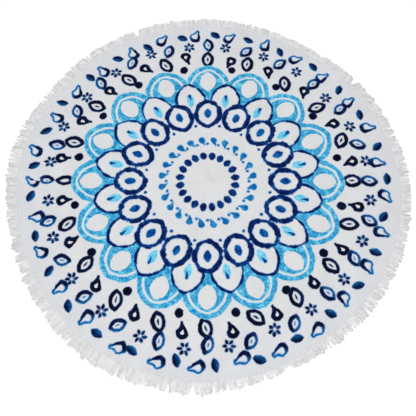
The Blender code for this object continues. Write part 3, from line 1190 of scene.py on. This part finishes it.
def scatter(tree, cell, seed, most):
    """How far one motif of a scattered round is pushed out of its place, one way or the other."""
    return calc(tree, "MULTIPLY_ADD", cell_chance(tree, cell, seed), 2.0 * most, -most)


def inside(tree, distance):
    """1 where a shape lies, with a soft edge."""
    return ramp(tree, distance, INK_SOFTNESS, -INK_SOFTNESS)


def wobble(tree, place):
    """A brush's wobble: the whole drawing is pushed about a little, in long and in short waves."""
    wobbled = place
    for scale, amount in BRUSH_WOBBLES:
        push = noise(tree, place, scale, detail=1.0, output="Color")
        pushed = vector_calc(tree, "MULTIPLY_ADD", push, (amount, amount, 0.0), wobbled)
        wobbled = vector_calc(tree, "SUBTRACT", pushed, (0.5 * amount, 0.5 * amount, 0.0))
    return wobbled


def worn_and_tide(tree, place):
    """How far an ink is worn at a place, and how far the medallion's inks turn bluer there."""
    wash = noise(tree, place, WASH_SCALE, detail=3.0, roughness=0.65)
    grit = noise(tree, place, GRIT_SCALE, detail=3.0, roughness=0.7)
    gritty = times(tree, ramp(tree, grit, *GRIT_RANGE), GRIT_STRENGTH)
    worn = calc(tree, "ADD", ramp(tree, wash, *WASH_RANGE), gritty, clamp=True)
    return worn, ramp(tree, noise(tree, place, TIDE_SCALE), *TIDE_RANGE)


def motif_place(tree, row, number, angle, radius):
    """Coordinates from the middle of a round's motif, with its own push and tilt where it has them."""
    across, along, cell = repeated(tree, angle, radius, row["repeats"], row["radius_m"], row["turn"])
    if row["push_m"]:
        across = plus(tree, across, scatter(tree, cell, PUSH_SEEDS[0] + number, row["push_m"]))
        along = plus(tree, along, scatter(tree, cell, PUSH_SEEDS[1] + number, row["push_m"]))
    if row["tilt_deg"] or row["push_m"]:
        spread = math.radians(row["tilt_spread_deg"])
        tilt = calc(tree, "MULTIPLY_ADD", cell_chance(tree, cell, TILT_SEED_STEP * number), spread,
                    math.radians(row["tilt_deg"]) - 0.5 * spread)
        across, along = turned(tree, across, along, tilt)
    return across, along


def motif_shapes(tree, row, distance, bluer):
    """The shapes that a motif is drawn in, each with its ink: its line or its whole, and its core."""
    outer = distance
    if row["line_m"]:
        half = 0.5 * row["line_m"]
        half_line = calc(tree, "MULTIPLY_ADD", bluer, -BLUE_SIDE_THINNING * half, half)
        outer = minus(tree, calc(tree, "ABSOLUTE", distance), half_line)
    shapes = [(outer, row["ink"])]
    if row["core_ink"]:
        shapes.append((plus(tree, distance, row["core_m"]), row["core_ink"]))
    return shapes


def lay_bare(tree, mask, cloth, colour, ink):
    """The colour, and how much ink there is, once bare cloth lies over a shape."""
    return blend(tree, mask, colour, cloth), times(tree, ink, minus(tree, 1.0, mask))


def ink_named(name):
    return next(row for row in rows(INK_COLUMNS, INKS) if row["ink"] == name)


def lay_ink(tree, edge, name, bluer, worn_share, colour, ink):
    """The same once a shape is painted, with a wet rim inside its edge and a bleed outside it."""
    own = ink_named(name)
    bluer_ink = ink_named(own["bluer_ink"])
    full, worn, wet_edge = [blend(tree, bluer, shade(own[tone]), shade(bluer_ink[tone]))
                            for tone in ("full", "worn", "wet_edge")]
    mask = inside(tree, edge)
    paint = blend(tree, worn_share, full, worn)
    paint = blend(tree, times(tree, ramp(tree, edge, -RIM_WIDTH, 0.0), RIM_STRENGTH), paint, wet_edge)
    bleed = times(tree, ramp(tree, edge, BLEED_REACH, 0.0), own["bleeding"])
    bleed = times(tree, bleed, minus(tree, 1.0, ink))
    colour = blend(tree, mask, blend(tree, bleed, colour, wet_edge), paint)
    return colour, calc(tree, "MAXIMUM", ink, mask)


def medallion_group():
    """The print's colour over bare cloth, and how much ink there is, by place on the flat cut."""
    tree, given, made = new_group(
        "lotus_medallion",
        [("Place", "NodeSocketVector"), ("Cloth", "NodeSocketColor")],
        [("Colour", "NodeSocketColor"), ("Ink", "NodeSocketFloat")])
    place, cloth = given.outputs["Place"], given.outputs["Cloth"]
    x, y = across_and_along(tree, wobble(tree, place))
    angle, radius = calc(tree, "ARCTAN2", y, x), length_of(tree, x, y)
    worn_share, tide = worn_and_tide(tree, place)

    colour, ink = cloth, 0.0
    for number, row in enumerate(rows(ROUND_COLUMNS, ROUNDS)):
        across, along = motif_place(tree, row, number, angle, radius)
        distance = motif_distance(tree, row, across, along)
        if row["bare"]:
            colour, ink = lay_bare(tree, inside(tree, distance), cloth, colour, ink)
        low, high = [share * row["width_m"] for share in BLUE_SIDE]
        side = ramp(tree, across, low, high) if row["push_m"] else tide
        bluer = times(tree, side, row["bluer"])
        for edge, name in motif_shapes(tree, row, distance, bluer):
            if name == "bare":
                colour, ink = lay_bare(tree, inside(tree, edge), cloth, colour, ink)
            else:
                colour, ink = lay_ink(tree, edge, name, bluer, worn_share, colour, ink)
    tree.links.new(colour, made.inputs["Colour"])
    tree.links.new(ink, made.inputs["Ink"])
    return tree


# ---------------------------------------------------------------- the finishes

def object_place(tree):
    return tree.nodes.new("ShaderNodeTexCoord").outputs["Object"]


def printed_velour():
    """The towel's face: sheared terry, white, with the print sunk into its pile."""
    material, tree, shader = new_material("printed_velour", roughness=0.92, sheen=0.01, sheen_roughness=0.5)
    flat = tree.nodes.new("ShaderNodeUVMap")
    flat.uv_map = "flat_cut"
    place = vector_calc(tree, "MULTIPLY_ADD", flat.outputs["UV"],
                        (2.0 * CUT_RADIUS, 2.0 * CUT_RADIUS, 0.0), (-CUT_RADIUS, -CUT_RADIUS, 0.0))
    nap = use_group(tree, cotton_nap_group(), Place=place, Grain=1050.0, Unevenness=0.17)
    radius = length_of(tree, *across_and_along(tree, place))
    # the white darkens to a bluer grey towards the hem: a painted shade
    cloth = blend(tree, ramp(tree, radius, *MARGIN_SHADE_ZONE), shade(CLOTH_WHITE), shade(MARGIN_SHADE_WHITE))
    print_node = use_group(tree, medallion_group(), Place=place, Cloth=cloth)
    ends = noise(tree, place, SPECKLE_SCALE, detail=2.0, roughness=0.6)
    speckle = times(tree, ramp(tree, ends, *SPECKLE_RANGE), SPECKLE_STRENGTH)
    paled = blend(tree, times(tree, speckle, print_node.outputs["Ink"]),
                  print_node.outputs["Colour"], shade(CLOTH_WHITE))
    tree.links.new(toned(tree, paled, nap.outputs["Tone"]), shader.inputs["Base Color"])
    add_bump(tree, shader, nap.outputs["Height"], strength=0.7, distance=0.0012)
    return material


def terry_loops():
    """The towel's back and edge: white uncut loops in their rows."""
    material, tree, shader = new_material("terry_loops", roughness=0.95, sheen=0.10, sheen_roughness=0.6)
    place = object_place(tree)
    nap = use_group(tree, cotton_nap_group(), Place=place, Grain=420.0, Unevenness=0.10)
    loops = tree.nodes.new("ShaderNodeTexVoronoi")
    tree.links.new(place, loops.inputs["Vector"])
    loops.inputs["Scale"].default_value = LOOP_SCALE
    loops.inputs["Randomness"].default_value = LOOP_RANDOMNESS
    crowns = minus(tree, 1.0, times(tree, loops.outputs["Distance"], LOOP_CROWN))
    height = plus(tree, crowns, times(tree, nap.outputs["Height"], LOOP_NAP_SHARE))
    # painted shade, darker between the loops
    between = calc(tree, "MULTIPLY_ADD", loops.outputs["Distance"], *LOOP_SHADE)
    tone = times(tree, nap.outputs["Tone"], between)
    tree.links.new(toned(tree, shade(CLOTH_WHITE)[:3], tone), shader.inputs["Base Color"])
    add_bump(tree, shader, height, strength=0.8, distance=0.0012)
    return material


def yarn_twist_group():
    """Cotton yarn: Tone is its whiteness with its fluff's, about 1, from the tone each yarn carries (on the
    fringe partly a painted shade between its tufts), Height is the fluff.
    """
    name = "yarn_twist"
    if name in bpy.data.node_groups:
        return bpy.data.node_groups[name]
    tree, given, made = new_group(
        name,
        [("Place", "NodeSocketVector"), ("Unevenness", "NodeSocketFloat")],
        [("Tone", "NodeSocketFloat"), ("Height", "NodeSocketFloat")])
    own = minus(tree, point_fact(tree, "yarn_tone"), 0.5)
    fluff = noise(tree, given.outputs["Place"], FLUFF_SCALE, detail=2.0, roughness=0.6)
    wander = plus(tree, own, times(tree, minus(tree, fluff, 0.5), FLUFF_TONE))
    tone = calc(tree, "MULTIPLY_ADD", wander, given.outputs["Unevenness"], 1.0)
    tree.links.new(tone, made.inputs["Tone"])
    tree.links.new(fluff, made.inputs["Height"])
    return tree


def cotton_yarn():
    """The fringe's loosely twisted white cotton, its plies as slanting ridges with painted shade in their
    grooves.
    """
    material, tree, shader = new_material("cotton_yarn", roughness=0.88, sheen=0.22, sheen_roughness=0.5)
    twist = use_group(tree, yarn_twist_group(), Place=object_place(tree), Unevenness=0.22)
    turns = calc(tree, "MULTIPLY_ADD", twist.outputs["Tone"], *YARN_TURNS)
    slant = plus(tree, times(tree, point_fact(tree, "yarn_run"), turns),
                 times(tree, point_fact(tree, "yarn_side"), YARN_SLANT))
    plies = calc(tree, "SINE", slant)
    height = calc(tree, "MULTIPLY_ADD", plies, PLY_HEIGHT, twist.outputs["Height"])
    # the tone follows the plies: painted shade in their grooves
    tone = times(tree, twist.outputs["Tone"], calc(tree, "MULTIPLY_ADD", plies, PLY_GROOVE_SHADE, 1.0))
    tree.links.new(toned(tree, shade(YARN_WHITE)[:3], tone), shader.inputs["Base Color"])
    add_bump(tree, shader, height, strength=0.6, distance=0.0003)
    return material


def stitch_thread():
    """White sewing thread."""
    material, tree, shader = new_material("stitch_thread", roughness=0.75, sheen=0.05, sheen_roughness=0.5)
    twist = use_group(tree, yarn_twist_group(), Place=object_place(tree), Unevenness=0.10)
    tree.links.new(toned(tree, shade(THREAD_WHITE)[:3], twist.outputs["Tone"]), shader.inputs["Base Color"])
    add_bump(tree, shader, twist.outputs["Height"], strength=0.3, distance=0.0002)
    return material


def heading_tape():
    """Plain-woven cotton tape."""
    material, tree, shader = new_material("heading_tape", roughness=0.92, sheen=0.08, sheen_roughness=0.5)
    nap = use_group(tree, cotton_nap_group(), Place=object_place(tree), Grain=1400.0, Unevenness=0.08)
    tree.links.new(toned(tree, shade(TAPE_WHITE)[:3], nap.outputs["Tone"]), shader.inputs["Base Color"])
    add_bump(tree, shader, nap.outputs["Height"], strength=0.5, distance=0.0004)
    return material


# ---------------------------------------------------------------- stage, light and camera

def make_floor():
    deselect_all()
    bpy.ops.mesh.primitive_plane_add(size=FLOOR_SIZE, location=(0.0, 0.0, FLOOR_HEIGHT - FLOOR_DROP))
    floor = bpy.context.object
    floor.name = "studio_floor"
    material = bpy.data.materials.new("pale_floor")
    material.use_nodes = True
    shader = material.node_tree.nodes["Principled BSDF"]
    shader.inputs["Base Color"].default_value = (FLOOR_TONE, FLOOR_TONE, FLOOR_TONE, 1.0)
    shader.inputs["Roughness"].default_value = 0.9
    shader.inputs["Specular IOR Level"].default_value = 0.0
    floor.data.materials.append(material)
    return floor


def make_lights():
    for row in rows(LIGHT_COLUMNS, LIGHTS):
        data = bpy.data.lights.new(row["name"], "AREA")
        data.shape = "SQUARE"
        data.size = row["size_m"]
        data.energy = row["watts"]
        lamp = bpy.data.objects.new(row["name"], data)
        lamp.location = row["place"]
        lamp.rotation_euler = (-Vector(row["place"])).to_track_quat("-Z", "Y").to_euler()
        bpy.context.scene.collection.objects.link(lamp)


def make_surroundings():
    """Even white surroundings that fill the shadows and stand as a white backdrop."""
    world = bpy.context.scene.world or bpy.data.worlds.new("surroundings")
    bpy.context.scene.world = world
    world.use_nodes = True
    tree = world.node_tree
    background = tree.nodes["Background"]
    background.inputs["Color"].default_value = (1.0, 1.0, 1.0, 1.0)
    seen = tree.nodes.new("ShaderNodeLightPath").outputs["Is Camera Ray"]
    strength = calc(tree, "MULTIPLY_ADD", seen, 1.0 - SKY_STRENGTH, SKY_STRENGTH)
    tree.links.new(strength, background.inputs["Strength"])


def make_camera():
    data = bpy.data.cameras.new("camera")
    data.lens = CAMERA_LENS_MM
    data.sensor_width = SENSOR_WIDTH_MM
    camera = bpy.data.objects.new("camera", data)
    camera.location = CAMERA_PLACE
    camera.rotation_euler = [math.radians(turn) for turn in CAMERA_TURN_DEG]
    bpy.context.scene.collection.objects.link(camera)
    bpy.context.scene.camera = camera


# ---------------------------------------------------------------- the scene

def main():
    bpy.context.scene.view_settings.view_transform = "Standard"
    make_camera()
    floor = make_floor()
    make_lights()
    make_surroundings()

    panel = make_terry_panel()
    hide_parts("towel_cloth")
    hem_sewing = make_hem_stitching()

    heading = make_fringe_heading()
    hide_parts("fringe_trim")
    yarn_pieces = make_fringe_yarn()
    heading_sewing = make_heading_stitching()
    for piece in yarn_pieces:
        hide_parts("fringe_trim")

    sewn_on = [hem_sewing, heading, heading_sewing, *yarn_pieces]
    for piece in (panel, *sewn_on):
        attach(piece, "root")


main()
